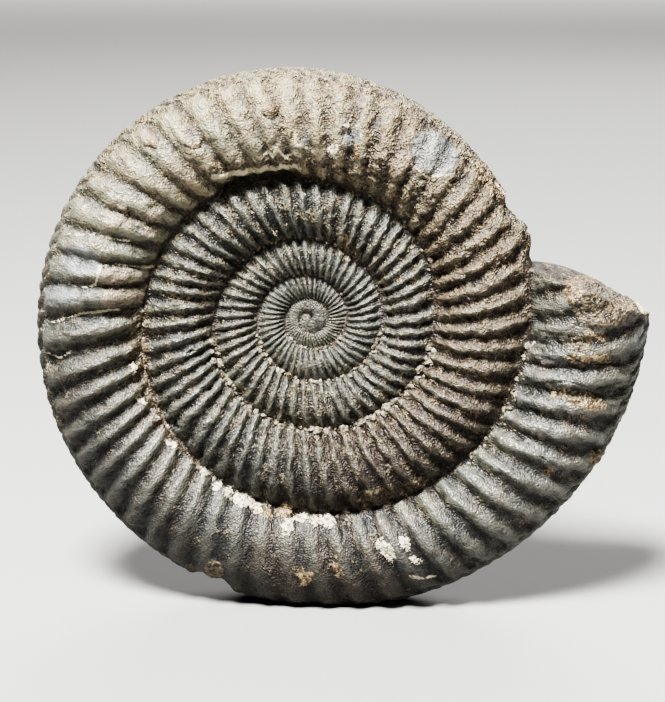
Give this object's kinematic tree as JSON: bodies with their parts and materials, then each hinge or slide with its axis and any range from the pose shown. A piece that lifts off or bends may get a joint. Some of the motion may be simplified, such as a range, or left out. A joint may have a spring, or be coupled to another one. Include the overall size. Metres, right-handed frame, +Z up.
{
  "type": "dactylioceras commune ammonite fossil",
  "caption": "Flat open-coiled ammonite fossil with rope-like ribs over every whorl, broken off at its mouth, standing upright on a small ground flat.",
  "frame": {"origin": "middle of the small flat that the fossil rests on", "axes": "+Z up, +X along the fossil's greatest width towards its broken mouth, +Y through its thickness from the shown side to the back"},
  "size_m": [0.0964, 0.0188, 0.0854],
  "materials": {
    "fossil_stone": "satin grey-brown fossil shell with cream and ochre crust"
  },
  "bodies": {
    "root": {"ammonite": "fossil_stone"}
  },
  "joints": []
}
